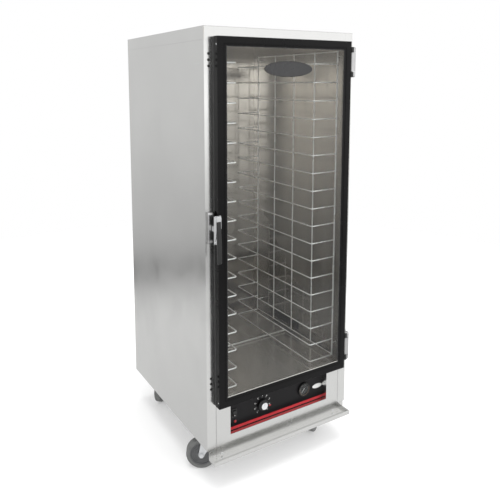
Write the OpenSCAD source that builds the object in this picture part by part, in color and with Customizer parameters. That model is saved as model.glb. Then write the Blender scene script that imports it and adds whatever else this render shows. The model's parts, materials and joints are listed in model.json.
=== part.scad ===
// Mobile food holding cabinet: a stainless single-skin box with a glazed full-height door,
// a heated base with a front control panel, wire pan slides, a drip trough and swivel casters.
// Millimetres, +Z up, the front faces -Y. The origin is on the floor under the middle of the
// cabinet's overall footprint.

/* [Body] */
// Width of the body
body_w = 704; // [660:4:760]
// Depth of the body behind its front face
body_d = 748; // [740:2:820]
// Height of the roof above the floor
roof_z = 1784; // [1780:2:1830]
// Height of the underside of the body above the floor
base_z = 155; // [155:1:156]
// Thickness of the body's sheet metal
sheet = 1.5; // [1.2:0.1:2]
// Width of the flange at each side of the door opening
stile_w = 40; // [38:1:44]

/* [Door] */
// Height of the door's bottom edge above the floor
door_z = 337; // [336:1:340]
// Height of the door
door_h = 1410; // [1400:2:1412]
// Width of the door frame's members
frame_w = 38; // [34:1:42]
// Thickness of the door leaf, without its gasket
leaf_t = 28; // [26:1:30]

/* [Pan slides] */
// Number of slides on each side
slide_count = 18; // [6:1:18]
// Height from one slide to the next
slide_pitch = 76.2; // [70:0.1:76.2]
// Thickness of the slide wire
wire_d = 5; // [4:0.5:6]

/* [Casters] */
// Wheel diameter
wheel_d = 127; // [120:1:127]
// Wheel width
wheel_w = 32; // [28:1:34]
// Distance of the axle behind the kingpin
trail = 37; // [34:1:38]

/* [Control panel] */
// Width of the panel's recess
recess_w = 492; // [480:2:500]
// Depth of the panel's recess
recess_d = 32; // [30:1:34]
// Diameter of the knob's skirt
knob_d = 46; // [40:1:50]
// Diameter of the thermometer
gauge_d = 60; // [52:1:62]

/* [Hidden] */
$fn = 48;

steel = [0.78, 0.78, 0.77];
chrome = [0.86, 0.87, 0.88];
black = [0.1, 0.1, 0.11];
red = [0.72, 0.08, 0.1];
rubber = [0.45, 0.46, 0.46];

// How far the object reaches in front of and behind the body
front_reach = 68;
rear_reach = 12;
front_y = (front_reach - body_d - rear_reach) / 2;
half_w = body_w / 2;
stile_x = half_w - stile_w;
eps = 0.01;

// Bands of the front, as heights above the floor
fascia_top = 345;
header_z = 1728;
cap_z = 1735;
recess_z = [194, 320];
tray_z = 184;
deck_z = 345;
deck_t = 2;
floor_z = deck_z + deck_t;

// Door
door_x = stile_x + 4;
door_top = door_z + door_h;
leaf_y = -34;
gasket_t = 5.8;
glass_t = 5;
glass_y = -31.5;
glass_bite = 6;
glazed_wall = 18;
top_rail_w = frame_w - 4;

// Hinges
pin_x = stile_x + 22;
pin_y = -20;
pin_r = 4;
running = 0.05;
hinge_half = 62;
hinge_zs = [1664, 432];

// Latch
latch_z = 1050;
strike_x = [-door_x - 29, -door_x - 7];
latch_x = [-door_x - 19, -door_x - 1];
lever_y = -44;
lever_z = 1090;

// Controls
panel_y = recess_d;
panel_t = 2;
knob_pos = [-73, 252];
switch_pos = [-211, 257];
pilot_pos = [-207, 221];
gauge_pos = [144, 255];
badge_pos = [219, 249];
rocker_r = 14;
rocker_tilt = 8;
rocker_y = 38;

// Cord gland at the back
gland_pos = [230, 215];
gland_r = 11;

// Pan slides
post_x = half_w - 38;
slide_x = 187;
post_y0 = 48;
post_pitch = 150.3;
post_count = 5;
slide_top = 1658;
rear_post_y = post_y0 + (post_count - 1) * post_pitch;
post_z = [362, 1714];
front_post_r = 3.5;
bend_r = 10;
wire_r = wire_d / 2;

// Heated base
fan_pos = [0, 540];
cover_x = half_w - 57;
cover_y = [376, 700];
cover_top = 359.5;
cover_slope = 28;
heater_z = 326;
blade_z = 298;

// Casters: kingpin places and the direction in which each wheel trails
wheel_r = wheel_d / 2;
king_r = 6;
plate_z = base_z - 4;
caster_x = half_w - 74;
caster_fl = [-caster_x, 110, 150];
caster_fr = [caster_x, 110, 215];
caster_rl = [-caster_x, 640, 45];
caster_rr = [caster_x, 640, 0];
casters = [caster_fl, caster_fr, caster_rl, caster_rr];

// ---------------------------------------------------------------- helpers

// Puts what is modelled from the body's front face into the object's frame
module placed() {
    translate([0, front_y, 0]) children();
}

// A box from its corners, each axis given as [from, to]
module span(x, y, z) {
    translate([x[0], y[0], z[0]]) cube([x[1] - x[0], y[1] - y[0], z[1] - z[0]]);
}

// An upright ring-shaped frame in the XZ plane: outer and inner are [half width, bottom, top]
module upright_ring(outer, inner, y) {
    difference() {
        span([-outer[0], outer[0]], y, [outer[1], outer[2]]);
        span([-inner[0], inner[0]], [y[0] - 1, y[1] + 1], [inner[1], inner[2]]);
    }
}

// A cylinder along Y from y[0] to y[1], at pos = [x, z]
module y_rod(pos, y, r) {
    translate([pos[0], y[1], pos[1]]) rotate([90, 0, 0]) cylinder(h = y[1] - y[0], r = r);
}

// A cylinder along X from x[0] to x[1], at pos = [y, z]
module x_rod(pos, x, r) {
    translate([x[0], pos[0], pos[1]]) rotate([0, 90, 0]) cylinder(h = x[1] - x[0], r = r);
}

// A low oval plate standing off a surface that faces the front
module oval_plate(pos, rx, rz, y) {
    translate([pos[0], y[1], pos[1]]) rotate([90, 0, 0]) linear_extrude(y[1] - y[0])
        polygon([for (a = [0 : 6 : 354]) [rx * cos(a), rz * sin(a)]]);
}

// Mirrors its children to the side given as -1 or 1
module to_side(side) {
    mirror([side < 0 ? 1 : 0, 0, 0]) children();
}

// ---------------------------------------------------------------- body shell

// One side wall with its front flange and the flange's return
module side_panel() {
    span([-half_w, -half_w + sheet], [0, body_d], [base_z, cap_z]);
    span([-half_w, -stile_x], [0, sheet], [base_z, cap_z]);
    span([-half_w + sheet, -stile_x], [0, sheet], [cap_z - eps, roof_z - sheet]);
    span([-stile_x - sheet, -stile_x], [0, 18], [floor_z, header_z]);
}

module side_panel_left() {
    color(steel) placed() side_panel();
}

module side_panel_right() {
    color(steel) placed() mirror([1, 0, 0]) side_panel();
}

// Rear wall with the hole for the cord gland
module back_panel() {
    color(steel) placed() difference() {
        span([-half_w + sheet, half_w - sheet], [body_d - sheet, body_d], [base_z, cap_z]);
        y_rod(gland_pos, [body_d - 5, body_d + 5], gland_r);
    }
}

// Roof sheet folded down over both sides and the back
module top_cap() {
    color(steel) placed() {
        span([-half_w, half_w], [0, body_d], [roof_z - sheet, roof_z]);
        for (side = [-1, 1])
            to_side(side) span([half_w - sheet, half_w], [sheet, body_d], [cap_z, roof_z - sheet + eps]);
        span([-half_w + sheet - eps, half_w - sheet + eps], [body_d - sheet, body_d],
            [cap_z, roof_z - sheet + eps]);
    }
}

// Strip over the door opening, folded back at its bottom edge
module header() {
    color(steel) placed() {
        span([-stile_x, stile_x], [0, sheet], [header_z, roof_z - sheet]);
        span([-stile_x, stile_x], [0, 18], [header_z, header_z + sheet]);
    }
}

// Lower front with the folded box of the control recess and the strip that carries the trough
module fascia() {
    edge = stile_x - 1;
    box = recess_w / 2 + sheet;
    color(steel) placed() {
        difference() {
            union() {
                span([-edge, edge], [0, sheet], [base_z, fascia_top]);
                span([-edge, edge], [0, 18], [fascia_top - sheet, fascia_top]);
                span([-box, box], [sheet - eps, recess_d], [tray_z - sheet, recess_z[1] + sheet]);
            }
            span([-recess_w / 2, recess_w / 2], [-1, recess_d + 1], recess_z);
            span([-recess_w / 2, recess_w / 2], [sheet, recess_d + 1], [tray_z, recess_z[1]]);
        }
        span([-half_w + 22, half_w - 22], [sheet, 2 * sheet], [120, base_z + 12]);
    }
}

// Chassis tray: carries the casters below and the interior floor above
module base_pan() {
    color(steel) placed() {
        span([-half_w + sheet, half_w - sheet], [4, body_d - sheet], [base_z, base_z + 2]);
        for (side = [-1, 1])
            to_side(side) span([half_w - 14, half_w - 12], [40, body_d - sheet], [base_z + 2 - eps, deck_z]);
    }
}

// Interior floor, short of the side walls so that warm air rises past it
module floor_deck() {
    color(steel) placed() difference() {
        span([-half_w + 6, half_w - 6], [sheet + 0.5, body_d - sheet - 4], [deck_z, floor_z]);
        translate([fan_pos[0], fan_pos[1], deck_z - 1]) cylinder(h = deck_t + 2, r = 95);
    }
}

// ---------------------------------------------------------------- heated base

// Low cover over the fan opening: a sloped front edge and slots along its ends
module heater_cover() {
    slot_pitch = 48;
    color(steel) placed() difference() {
        cover_profile(cover_x, 0);
        cover_profile(cover_x - sheet, sheet);
        for (i = [0 : 4])
            span([-cover_x - 1, cover_x + 1], [cover_y[0] + 60 + i * slot_pitch, cover_y[0] + 88 + i * slot_pitch],
                [floor_z + 3, floor_z + 8]);
    }
}

// The cover's outline from the side, pulled in by inset and open below where inset is above 0
module cover_profile(x, inset) {
    low = floor_z - inset;
    rotate([90, 0, 90]) translate([0, 0, -x]) linear_extrude(2 * x) polygon([
        [cover_y[0] + 2 * inset, low],
        [cover_y[0] + cover_slope + inset, cover_top - inset],
        [cover_y[1] - inset, cover_top - inset],
        [cover_y[1] - inset, low]
    ]);
}

// Ring heater under the floor, hung round the fan opening from its terminals
module heater_element() {
    ring_r = 120;
    color([0.35, 0.33, 0.32]) placed() translate([fan_pos[0], fan_pos[1], heater_z]) {
        rotate_extrude(angle = 330) translate([ring_r, 0]) circle(r = 4);
        for (a = [0, 330])
            rotate([0, 0, a]) translate([ring_r, 0, -6]) cylinder(h = deck_z - heater_z + 6, r = 6);
    }
}

// Motor on its stand with the shaft that carries the blade
module fan_motor() {
    stand_x = 70;
    stand_z = [base_z + 2, 200];
    color([0.5, 0.5, 0.52]) placed() translate([fan_pos[0], fan_pos[1], 0]) {
        difference() {
            span([-stand_x, stand_x], [-25, 25], stand_z);
            span([-stand_x + 3, stand_x - 3], [-26, 26], [stand_z[0] + 3, stand_z[1] - 3]);
        }
        translate([0, 0, stand_z[1] - eps]) cylinder(h = 60, r = 42);
        translate([0, 0, stand_z[1]]) cylinder(h = 108, r = pin_r);
    }
}

// Fan wheel: hub, back disc and upright vanes
module fan_blade() {
    color(steel) placed() translate([fan_pos[0], fan_pos[1], blade_z]) difference() {
        union() {
            cylinder(h = 12, r = 12);
            cylinder(h = 1.5, r = 82);
            for (i = [0 : 7])
                rotate([0, 0, i * 45]) translate([34, -1, 0]) rotate([0, 0, 12]) cube([42, 2, 12]);
        }
        translate([0, 0, -1]) cylinder(h = 14, r = pin_r + running);
    }
}

// Slotted outlet frame low on each side wall
module air_outlets() {
    color(black) placed() for (side = [-1, 1])
        to_side(side) difference() {
            span([half_w - sheet - 4, half_w - sheet], [335, 549], [360, 402]);
            for (i = [0 : 2])
                span([half_w - sheet - 5, half_w - sheet - 1.5], [345, 539], [366 + i * 11, 374 + i * 11]);
        }
}

// ---------------------------------------------------------------- pan slides

// Five wall-side uprights, their tie wires and the stubs that hold them off the wall
module rack_posts() {
    for (i = [0 : post_count - 1])
        translate([post_x, post_y0 + i * post_pitch, post_z[0]])
            cylinder(h = post_z[1] - post_z[0], r = i == 0 ? front_post_r : wire_r);
    for (z = [post_z[0] + 4, post_z[1] - 4])
        y_rod([post_x, z], [post_y0, rear_post_y], wire_r);
    for (y = [post_y0, rear_post_y], z = [420, 1690])
        x_rod([y, z], [post_x, half_w - sheet], 2);
}

module rack_posts_left() {
    color(chrome) placed() mirror([1, 0, 0]) rack_posts();
}

module rack_posts_right() {
    color(chrome) placed() rack_posts();
}

// One slide: a wire that leaves the front post, runs back and returns to the rear post
module slide_loop(z) {
    front = [slide_x + bend_r, post_x - front_post_r];
    rear = [slide_x + bend_r, post_x - wire_r];
    x_rod([post_y0, z], front, wire_r);
    x_rod([rear_post_y, z], rear, wire_r);
    y_rod([slide_x, z], [post_y0 + bend_r, rear_post_y - bend_r], wire_r);
    translate([slide_x + bend_r, post_y0 + bend_r, z]) rotate([0, 0, 180])
        rotate_extrude(angle = 90) translate([bend_r, 0]) circle(r = wire_r);
    translate([slide_x + bend_r, rear_post_y - bend_r, z]) rotate([0, 0, 90])
        rotate_extrude(angle = 90) translate([bend_r, 0]) circle(r = wire_r);
}

module slides() {
    for (i = [0 : slide_count - 1])
        slide_loop(slide_top - i * slide_pitch);
}

module slides_left() {
    color(chrome) placed() mirror([1, 0, 0]) slides();
}

module slides_right() {
    color(chrome) placed() slides();
}

// ---------------------------------------------------------------- controls

// Black plate behind the recess, drilled for the controls
module control_panel() {
    color(black) placed() difference() {
        span([-recess_w / 2 - 12, recess_w / 2 + 12], [panel_y, panel_y + panel_t],
            [tray_z - 12, recess_z[1] + 10]);
        y_rod(knob_pos, [panel_y - 1, panel_y + panel_t + 1], 5);
        y_rod(pilot_pos, [panel_y - 1, panel_y + panel_t + 1], 4);
        y_rod(gauge_pos, [panel_y - 1, panel_y + panel_t + 1], gauge_d / 2 - 3);
        span([switch_pos[0] - 10, switch_pos[0] + 10], [panel_y - 1, panel_y + panel_t + 1],
            [switch_pos[1] - 15, switch_pos[1] + 15]);
    }
}

// Coloured strip along the bottom of the panel
module accent_stripe() {
    color(red) placed()
        span([-recess_w / 2, recess_w / 2], [panel_y - 0.8, panel_y], [tray_z + 3, tray_z + 15]);
}

// Blank oval plate at the right end of the panel
module panel_badge() {
    color(chrome) placed() oval_plate(badge_pos, 26, 10, [panel_y - 1.5, panel_y]);
}

// Bezel and body of the power switch, hollow for the rocker
module switch_housing() {
    color(black) placed() translate([switch_pos[0], 0, switch_pos[1]]) difference() {
        union() {
            span([-13, 13], [panel_y - 3, panel_y], [-18, 18]);
            span([-10, 10], [panel_y, panel_y + 26], [-15, 15]);
        }
        x_rod([rocker_y, 0], [-8, 8], rocker_r + 0.4);
        span([-8, 8], [panel_y - 4, rocker_y], [-13, 13]);
    }
}

// Rocker: a segment of a drum that tips about its middle
module switch_rocker() {
    color(black) placed() translate([switch_pos[0], rocker_y, switch_pos[1]])
        rotate([rocker_tilt, 0, 0]) intersection() {
            x_rod([0, 0], [-7.6, 7.6], rocker_r);
            span([-8, 8], [-rocker_r, 1], [-11, 11]);
        }
}

// Red lens with its stem through the panel
module pilot_light() {
    color(red) placed() {
        y_rod(pilot_pos, [panel_y - 4, panel_y], 6);
        y_rod(pilot_pos, [panel_y - eps, panel_y + 14], 4);
    }
}

// Thermostat behind the panel, bored for the knob's shaft
module thermostat_body() {
    color([0.6, 0.6, 0.58]) placed() difference() {
        translate([knob_pos[0], 0, knob_pos[1]]) span([-18, 18], [panel_y + panel_t, panel_y + 32], [-16, 16]);
        y_rod(knob_pos, [panel_y, panel_y + 20], 3 + running);
    }
}

// Knob skirt with the shaft that turns the thermostat
module control_knob() {
    color(black) placed() {
        y_rod(knob_pos, [panel_y - 11, panel_y - 1], knob_d / 2);
        y_rod(knob_pos, [panel_y - 1 - eps, panel_y + 18], 3);
    }
}

// Bright grip of the knob with its pointer rib
module knob_cap() {
    color(chrome) placed() {
        y_rod(knob_pos, [panel_y - 20, panel_y - 11], 15);
        translate([knob_pos[0], 0, knob_pos[1]]) span([-1.5, 1.5], [panel_y - 21.5, panel_y - 20 + eps], [2, 14]);
    }
}

// Bezel and can of the thermometer
module thermometer_case() {
    color(black) placed() difference() {
        union() {
            y_rod(gauge_pos, [panel_y - 8, panel_y], gauge_d / 2);
            y_rod(gauge_pos, [panel_y - eps, panel_y + 14], gauge_d / 2 - 3);
        }
        y_rod(gauge_pos, [panel_y - 9, panel_y], gauge_d / 2 - 4);
    }
}

// Face of the thermometer with the pivot of the needle
module thermometer_dial() {
    color(black) placed() {
        y_rod(gauge_pos, [panel_y - 1.5, panel_y], gauge_d / 2 - 4);
        y_rod(gauge_pos, [panel_y - 4.6, panel_y - 1.5 + eps], 1);
    }
}

// Needle, resting at the cold end of the scale
module thermometer_needle() {
    color([0.85, 0.85, 0.82]) placed() translate([gauge_pos[0], panel_y - 3.6, gauge_pos[1]])
        rotate([0, -135, 0]) difference() {
            union() {
                y_rod([0, 0], [0, 0.8], 2.4);
                span([-0.7, 0.7], [0, 0.8], [-6, 17]);
            }
            y_rod([0, 0], [-1, 2], 1 + running);
        }
}

// Clear front of the thermometer
module thermometer_lens() {
    color([0.8, 0.9, 0.92, 0.4]) placed() y_rod(gauge_pos, [panel_y - 7, panel_y - 5.2], gauge_d / 2 - 4);
}

// ---------------------------------------------------------------- fixed hardware

// Cabinet half of each hinge: plate, barrel and the pin fixed in it
module hinge_mounts() {
    color(chrome) placed() for (z = hinge_zs) translate([0, 0, z]) {
        span([stile_x + 10.5, half_w - 2], [-4, 0], [-hinge_half, hinge_half]);
        span([pin_x - 10, half_w - 5], [pin_y, -4 + eps], [-38, 38]);
        translate([pin_x, pin_y, -38]) cylinder(h = 76, r = 13);
        translate([pin_x, pin_y, -hinge_half + 2]) cylinder(h = 2 * hinge_half - 4, r = pin_r);
    }
}

// Keeper on the left stile, sloped at its top
module latch_strike() {
    color(chrome) placed() translate([strike_x[0], 0, latch_z]) rotate([90, 0, 90])
        linear_extrude(strike_x[1] - strike_x[0])
            polygon([[0, -59], [0, 60], [-7, 60], [-13, 50], [-13, -48], [-8, -59]]);
}

// Plugs in the unused hinge holes of the left stile
module hole_plugs() {
    color(black) placed() for (z = hinge_zs, k = [-22, 0, 22])
        y_rod([-half_w + 19, z + k], [-1.5, 0], 5);
}

// Screw and rivet heads of the body: control panel, trough, floor, heater cover, sides, casters
module cabinet_screws() {
    color(chrome) placed() {
        for (side = [-1, 1])
            to_side(side) x_rod([12, 262], [recess_w / 2 - 1.5, recess_w / 2], 3.5);
        for (x = [-286, 286])
            y_rod([x, 126], [-2.2, 0], 4.5);
        for (x = [-245, 245], y = [150, 722])
            translate([x, y, floor_z]) cylinder(h = 2, r = 4);
        for (x = [-240, 0, 240])
            translate([x, cover_y[0] + 46, cover_top]) cylinder(h = 1.5, r = 3);
        for (side = [-1, 1], y = [43, 70])
            to_side(side) x_rod([y, 1650], [half_w, half_w + 1.2], 3);
        for (c = casters, dx = [-37, 37], dy = [-30, 30])
            translate([c[0] + dx, c[1] + dy, plate_z - 5]) cylinder(h = 5, r = 7, $fn = 6);
    }
}

// Gland where the supply cord enters the back
module cord_gland() {
    color(black) placed() difference() {
        union() {
            y_rod(gland_pos, [body_d - sheet - 8, body_d + eps], gland_r);
            translate([gland_pos[0], body_d + 5, gland_pos[1]]) rotate([90, 0, 0]) cylinder(h = 5, r = 16, $fn = 6);
            y_rod(gland_pos, [body_d + 5 - eps, body_d + rear_reach], 10);
        }
        y_rod(gland_pos, [body_d - 20, body_d + rear_reach + 1], 5.5);
    }
}

// Drip trough: back flange slit where it crosses the stiles, floor, hemmed front lip and end plates
module drip_trough() {
    end_x = half_w - 8;
    low = 116;
    reach = 45;
    lip_top = 131.5;
    side_top = 130;
    color(steel) placed() {
        difference() {
            span([-end_x, end_x], [0, sheet], [low, base_z - 0.3]);
            for (x = [-stile_x, stile_x - 1])
                span([x, x + 1], [-1, sheet + 1], [low + sheet + 1, base_z]);
        }
        span([-end_x, end_x], [-reach, eps], [low, low + sheet]);
        span([-end_x, end_x], [-reach, -reach + sheet], [low, lip_top]);
        span([-end_x, end_x], [-reach + sheet - eps, -reach + 4], [lip_top - sheet, lip_top]);
        for (x = [-end_x, end_x - sheet]) translate([x, 0, 0]) rotate([90, 0, 90]) linear_extrude(sheet)
            polygon([[-reach, low], [eps, low], [eps, side_top], [-reach, lip_top]]);
    }
}

// Caster top plates with their raceways and kingpins
module caster_plates() {
    color(steel) placed() for (c = casters) translate([c[0], c[1], 0]) {
        span([-50, 50], [-42, 42], [plate_z, base_z]);
        translate([0, 0, plate_z - 5.5]) cylinder(h = 5.5 + eps, r = 25);
        translate([0, 0, plate_z - 25]) cylinder(h = 25, r = king_r);
        translate([0, 0, plate_z - 25]) cylinder(h = 5, r = 9, $fn = 6);
    }
}

// ---------------------------------------------------------------- door

// Frame: a raised outer band, a groove, an inner bead, and the rebate that the glass sits in
module door_frame() {
    band = 26;
    groove = 2;
    outer = [door_x, door_z, door_top];
    inner = [door_x - frame_w, door_z + frame_w, door_top - top_rail_w];
    back_y = glass_y + glass_t;
    color(black) placed() difference() {
        union() {
            upright_ring(outer, inner, [leaf_y + 2, back_y]);
            upright_ring(outer, [door_x - glazed_wall, door_z + glazed_wall, door_top - glazed_wall],
                [back_y - eps, leaf_y + leaf_t]);
            upright_ring(outer, [door_x - band, door_z + band, door_top - band], [leaf_y, leaf_y + 2 + eps]);
            upright_ring([door_x - band - groove, door_z + band + groove, door_top - band - groove],
                inner, [leaf_y + 0.5, leaf_y + 2 + eps]);
        }
        span([-inner[0] - glass_bite, inner[0] + glass_bite], [glass_y, back_y + 1],
            [inner[1] - glass_bite, inner[2] + glass_bite]);
    }
}

module door_window() {
    x = door_x - frame_w + glass_bite;
    color([0.75, 0.8, 0.8, 0.3]) placed() span([-x, x], [glass_y, glass_y + glass_t],
        [door_z + frame_w - glass_bite, door_top - top_rail_w + glass_bite]);
}

// Gasket round the back of the leaf
module door_gasket() {
    lap = 8;
    color([0.25, 0.25, 0.25]) placed() upright_ring([door_x - 0.5, door_z + 0.5, door_top - 0.5],
        [door_x - lap, door_z + lap, door_top - lap], [leaf_y + leaf_t, leaf_y + leaf_t + gasket_t]);
}

// Blank oval plate on the glass
module door_badge() {
    color(black) placed() oval_plate([0, 1633], 114, 30, [glass_y - 1.5, glass_y]);
}

// Screws in the latch edge of the frame that hold its corners together
module door_screws() {
    color(chrome) placed() for (z = [door_z + 24, door_top - 29])
        x_rod([leaf_y + 7, z], [-door_x - 1, -door_x], 3);
}

// A hinge barrel's turned shape: its far end is rounded
module domed_barrel(h) {
    r = 13;
    corner = 6;
    rotate_extrude() union() {
        square([r, h - corner]);
        square([r - corner, h]);
        translate([r - corner, h - corner]) circle(r = corner);
    }
}

// Door half of each hinge: a strap on the door's edge with a barrel above and below
module hinge_leaves() {
    barrel = 22;
    color(chrome) placed() for (z = hinge_zs) translate([0, 0, z]) {
        span([door_x, door_x + 2], [-32, -8], [-hinge_half, hinge_half]);
        for (end = [-1, 1]) mirror([0, 0, end < 0 ? 1 : 0]) difference() {
            union() {
                translate([pin_x, pin_y, 40]) domed_barrel(barrel);
                span([door_x + 1, pin_x], [pin_y - 4, pin_y + 4], [41, 57]);
            }
            translate([pin_x, pin_y, 39]) cylinder(h = barrel + 2, r = pin_r + running);
        }
    }
}

// Black caps in the angle between the door's edge and the hinge barrels
module hinge_bushings() {
    color(black) placed() for (z = hinge_zs, end = [-1, 1])
        translate([0, 0, z]) mirror([0, 0, end < 0 ? 1 : 0]) difference() {
            span([door_x + 2, pin_x - 5], [pin_y - 15, pin_y - 4], [40, 61]);
            translate([pin_x, pin_y, 39]) cylinder(h = 24, r = 13);
        }
}

// The latch's side profile: round about the lever's pin, tapering to the door below
module latch_wall(t) {
    rotate([90, 0, 90]) linear_extrude(t) union() {
        translate([lever_y, lever_z]) circle(r = 9);
        polygon([
            [leaf_y, lever_z + 9], [lever_y, lever_z + 9], [lever_y - 9, lever_z],
            [lever_y - 9, lever_z - 38], [lever_y - 5, lever_z - 70], [leaf_y - 6, lever_z - 90],
            [leaf_y, lever_z - 98]
        ]);
    }
}

// Latch base on the door's front: its plate, two side walls with the pin's bores, and the nose
module latch_body() {
    wall = 3.5;
    color(chrome) placed() {
        difference() {
            union() {
                span([latch_x[0], -door_x + 10], [leaf_y - 2.5, leaf_y], [lever_z - 98, lever_z + 9]);
                for (x = [latch_x[0], latch_x[1] - wall]) translate([x, 0, 0]) latch_wall(wall);
            }
            x_rod([lever_y, lever_z], [latch_x[0] - 1, latch_x[1] + 1], 2.5 + running);
        }
        span([latch_x[0] + 2, -door_x - 2], [leaf_y - eps, -16], [latch_z - 10, latch_z + 10]);
    }
}

// Lever: its pivot pin, the head between the walls and the bright crown in front of them
module latch_lever() {
    inside = [latch_x[0] + 4.5, latch_x[1] - 4.5];
    face = lever_y - 10;
    color(chrome) placed() {
        x_rod([lever_y, lever_z], [latch_x[0] - 1, latch_x[1] + 1], 2.5);
        x_rod([lever_y, lever_z], inside, 7);
        span(inside, [face - 1, lever_y], [lever_z - 7, lever_z + 7]);
        span(latch_x, [face - 4, face], [lever_z - 8, lever_z + 11]);
        span([latch_x[1] - 2, latch_x[1]], [face - 6, face], [lever_z - 34, lever_z + 7]);
    }
}

// Grip: a black bar that hangs from the lever's crown and leans away from the door
module latch_grip() {
    face = lever_y - 10;
    color(black) placed() translate([latch_x[0], 0, 0]) rotate([90, 0, 90])
        linear_extrude(latch_x[1] - latch_x[0] - 2) polygon([
            [face, lever_z - 8], [face, lever_z - 50], [face + 2, lever_z - 90],
            [face, lever_z - 130], [face - 2, lever_z - 164], [face - 6, lever_z - 168],
            [-front_reach, lever_z - 162], [-front_reach, lever_z - 100], [face - 9, lever_z - 34],
            [face - 6, lever_z - 8]
        ]);
}

// ---------------------------------------------------------------- casters

// Puts its children at a kingpin with +X as the direction in which the wheel trails
module at_caster(c) {
    placed() translate([c[0], c[1], 0]) rotate([0, 0, c[2]]) children();
}

// Swivel fork with its axle bolt
module caster_fork(c) {
    leg_y = wheel_w / 2 + 2.5;
    leg_t = 3;
    color(steel) at_caster(c) difference() {
        union() {
            translate([0, 0, 138]) cylinder(h = 7, r = 27);
            span([-26, 36], [-leg_y - leg_t, leg_y + leg_t], [132, 138 + eps]);
            for (side = [-1, 1]) mirror([0, side < 0 ? 1 : 0, 0])
                translate([0, leg_y + leg_t, 0]) rotate([90, 0, 0]) linear_extrude(leg_t) {
                    polygon([[-22, 134], [36, 134], [trail + 12, wheel_r], [trail - 12, wheel_r]]);
                    translate([trail, wheel_r]) circle(r = 12);
                }
            y_rod([trail, wheel_r], [-leg_y - leg_t - 1, leg_y + leg_t + 1], 6);
            for (side = [-1, 1]) mirror([0, side < 0 ? 1 : 0, 0])
                translate([trail, leg_y + leg_t + 7, wheel_r]) rotate([90, 0, 0]) cylinder(h = 7, r = 10, $fn = 6);
        }
        translate([0, 0, 131]) cylinder(h = 15, r = king_r + running);
    }
}

// Wheel centre: rim, web and the bored boss
module caster_hub(c) {
    rim_r = wheel_r - 16;
    color([0.4, 0.41, 0.42]) at_caster(c) translate([trail, 0, wheel_r]) rotate([90, 0, 0])
        rotate_extrude() polygon([
            [6 + running, -wheel_w / 2 - 2],
            [15, -wheel_w / 2 - 2],
            [16, -9],
            [rim_r - 5, -9],
            [rim_r - 3, -wheel_w / 2 + 1],
            [rim_r, -wheel_w / 2 + 1],
            [rim_r, wheel_w / 2 - 1],
            [rim_r - 3, wheel_w / 2 - 1],
            [rim_r - 5, 9],
            [16, 9],
            [15, wheel_w / 2 + 2],
            [6 + running, wheel_w / 2 + 2]
        ]);
}

// Tread ring with rounded shoulders
module caster_tyre(c) {
    rim_r = wheel_r - 16;
    round_r = 6;
    color(rubber) at_caster(c) translate([trail, 0, wheel_r]) rotate([90, 0, 0]) rotate_extrude() union() {
        translate([rim_r, -wheel_w / 2]) square([16 - round_r, wheel_w]);
        translate([rim_r, -wheel_w / 2 + round_r]) square([16, wheel_w - 2 * round_r]);
        for (y = [-1, 1])
            translate([wheel_r - round_r, y * (wheel_w / 2 - round_r)]) circle(r = round_r);
    }
}

side_panel_left();
side_panel_right();
back_panel();
top_cap();
header();
fascia();
base_pan();
floor_deck();
heater_cover();
heater_element();
fan_motor();
fan_blade();
air_outlets();
rack_posts_left();
rack_posts_right();
slides_left();
slides_right();
control_panel();
accent_stripe();
panel_badge();
switch_housing();
switch_rocker();
pilot_light();
thermostat_body();
control_knob();
knob_cap();
thermometer_case();
thermometer_dial();
thermometer_needle();
thermometer_lens();
hinge_mounts();
latch_strike();
hole_plugs();
cabinet_screws();
cord_gland();
drip_trough();
door_frame();
door_window();
door_gasket();
door_badge();
door_screws();
hinge_leaves();
hinge_bushings();
latch_body();
latch_lever();
latch_grip();
caster_plates();
caster_fork(caster_fl);  // caster_fork_fl
caster_fork(caster_fr);  // caster_fork_fr
caster_fork(caster_rl);  // caster_fork_rl
caster_fork(caster_rr);  // caster_fork_rr
caster_hub(caster_fl);  // caster_hub_fl
caster_hub(caster_fr);  // caster_hub_fr
caster_hub(caster_rl);  // caster_hub_rl
caster_hub(caster_rr);  // caster_hub_rr
caster_tyre(caster_fl);  // caster_tyre_fl
caster_tyre(caster_fr);  // caster_tyre_fr
caster_tyre(caster_rl);  // caster_tyre_rl
caster_tyre(caster_rr);  // caster_tyre_rr
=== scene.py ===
import bpy
import bmesh
import json
import math
from mathutils import Matrix, Vector


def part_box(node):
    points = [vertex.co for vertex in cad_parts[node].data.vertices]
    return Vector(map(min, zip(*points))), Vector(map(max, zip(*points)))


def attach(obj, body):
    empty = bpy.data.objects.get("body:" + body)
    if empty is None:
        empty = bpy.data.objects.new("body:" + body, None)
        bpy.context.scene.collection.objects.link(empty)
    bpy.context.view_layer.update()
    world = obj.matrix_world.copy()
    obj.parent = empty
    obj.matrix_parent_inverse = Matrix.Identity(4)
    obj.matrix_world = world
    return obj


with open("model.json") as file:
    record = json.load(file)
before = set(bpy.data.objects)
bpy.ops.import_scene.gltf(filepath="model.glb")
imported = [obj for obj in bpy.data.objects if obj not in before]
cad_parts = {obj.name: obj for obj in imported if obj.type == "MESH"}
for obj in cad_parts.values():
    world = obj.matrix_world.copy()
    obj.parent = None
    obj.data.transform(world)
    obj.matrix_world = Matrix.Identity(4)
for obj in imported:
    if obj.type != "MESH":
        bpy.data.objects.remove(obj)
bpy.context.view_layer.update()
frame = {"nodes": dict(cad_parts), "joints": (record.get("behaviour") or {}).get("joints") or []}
NODES = frame["nodes"]
MM = 0.001

# ---------------------------------------------------------------- places taken from the frame

CAB_LO, CAB_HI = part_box("top_cap")
FRONT = CAB_LO.y                      # the body's front face
HALF_W = CAB_HI.x
ROOF = CAB_HI.z
WHEELS = ("fl", "fr", "rl", "rr")


def centre(node):
    lo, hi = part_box(node)
    return (lo + hi) / 2


def joint(name):
    return next(j for j in frame["joints"] if j["name"] == name)


# ---------------------------------------------------------------- material building

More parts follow.
